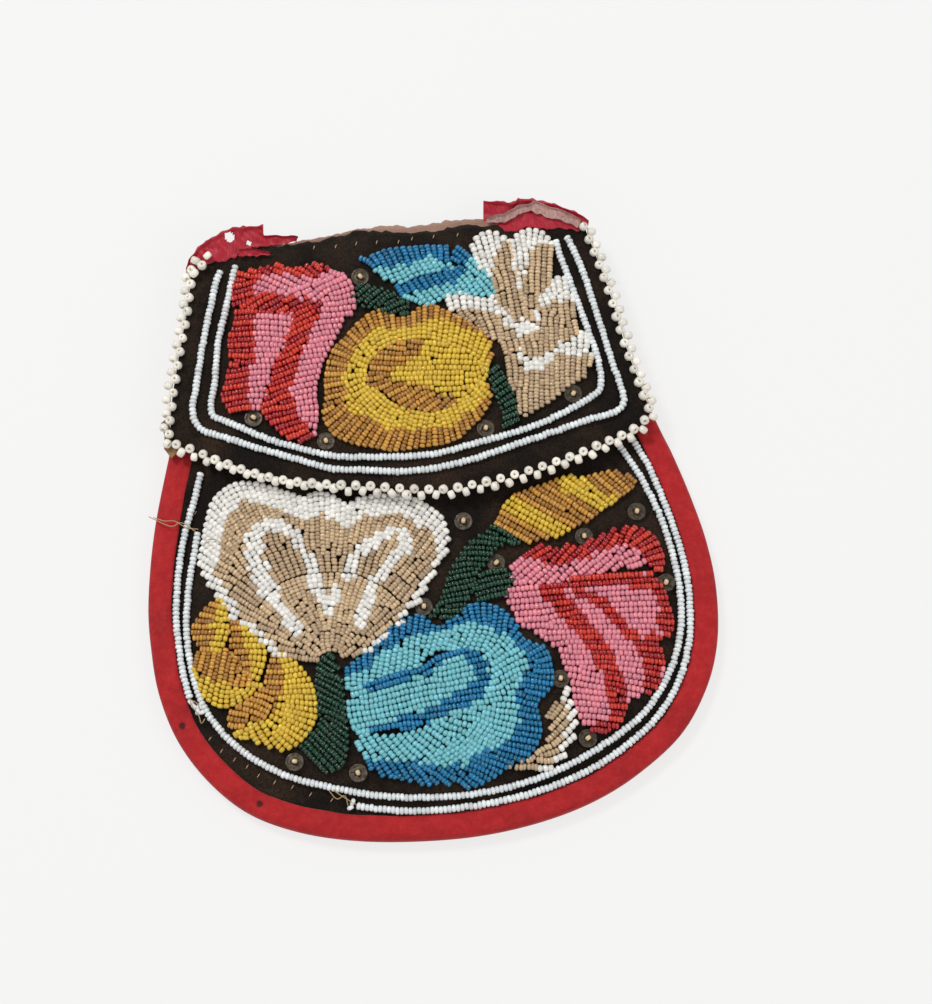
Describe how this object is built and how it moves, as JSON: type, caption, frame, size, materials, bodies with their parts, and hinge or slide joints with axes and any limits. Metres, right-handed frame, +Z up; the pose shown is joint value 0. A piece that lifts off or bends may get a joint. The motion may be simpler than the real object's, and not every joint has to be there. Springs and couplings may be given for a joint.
{
  "type": "beaded purse",
  "caption": "Flat velvet purse with a round bottom, a bound edge and a thin pocket, covered in raised floral beadwork, with a flap edged in large beads.",
  "frame": {"origin": "on the flat underside of the back panel, on the purse's middle line, where the purse lies on a table", "axes": "+X to the right across the purse seen from its beaded front, +Y from the round bottom to the seam of the flap, +Z up from the table through the beadwork"},
  "size_m": [0.1683, 0.1897, 0.0163],
  "materials": {
    "velvet": "worn dark cotton velvet",
    "card": "brown pasteboard stiffener; fabric stands in for card",
    "lining": "plain cotton lining",
    "tape": "red woven binding tape, faded and stained",
    "ribbon": "torn silk ribbon",
    "pale_beads": "opaque pale blue glass",
    "cream_beads": "opaque cream glass",
    "white_beads": "opaque white and clear tan glass",
    "red_beads": "translucent red and opaque pink glass",
    "gold_beads": "amber and opaque yellow glass",
    "blue_beads": "dark and light blue glass",
    "green_beads": "dark green glass",
    "sequin": "tarnished stamped metal"
  },
  "bodies": {
    "purse": {"back_velvet": "velvet", "back_board": "card", "back_lining": "lining", "front_lining": "lining", "front_board": "card", "front_velvet": "velvet", "body_binding": "tape", "front_bead_string_outer": "pale_beads", "front_bead_string_outer_left": "pale_beads", "front_bead_string_inner": "pale_beads", "front_white_leaf": "white_beads", "front_gold_bud": "gold_beads", "front_green_stem": "green_beads", "front_red_flower_top": "red_beads", "front_red_flower_body": "red_beads", "front_blue_flower_ring": "blue_beads", "front_blue_flower_heart": "blue_beads", "front_feather_leaf": "white_beads", "front_gold_petal_left": "gold_beads", "front_gold_petal_top": "gold_beads", "front_gold_petal_low": "gold_beads", "front_gold_petal_right": "gold_beads", "front_green_side_stem": "green_beads", "front_sequin_1": "sequin", "front_sequin_2": "sequin", "front_sequin_3": "sequin", "front_sequin_4": "sequin", "front_sequin_5": "sequin", "front_sequin_6": "sequin", "front_sequin_7": "sequin", "front_sequin_8": "sequin", "front_sequin_9": "sequin", "front_sequin_10": "sequin"},
    "flap": {"flap_lining": "lining", "flap_board": "card", "flap_velvet": "velvet", "flap_ribbon_left": "ribbon", "flap_ribbon_right": "ribbon", "flap_bead_string_outer": "pale_beads", "flap_bead_string_inner": "pale_beads", "flap_picot_edge": "cream_beads", "flap_red_flower_top": "red_beads", "flap_red_flower_left": "red_beads", "flap_red_flower_right": "red_beads", "flap_blue_leaf_top": "blue_beads", "flap_blue_leaf_right": "blue_beads", "flap_green_leaf": "green_beads", "flap_gold_flower_ring": "gold_beads", "flap_gold_flower_heart": "gold_beads", "flap_white_leaf_left": "white_beads", "flap_white_leaf_lobe_left": "white_beads", "flap_white_leaf_lobe_right": "white_beads", "flap_white_leaf_middle": "white_beads", "flap_white_leaf_foot": "white_beads", "flap_green_stem": "green_beads", "flap_sequin_1": "sequin", "flap_sequin_2": "sequin", "flap_sequin_3": "sequin", "flap_sequin_4": "sequin", "flap_sequin_5": "sequin"}
  },
  "joints": [
    {"name": "flap_hinge", "type": "hinge", "parent": "purse", "child": "flap", "pos_m": [0, 0.0963, 0.0078], "axis": [-1, 0, 0], "range_deg": [0, 165]}
  ]
}
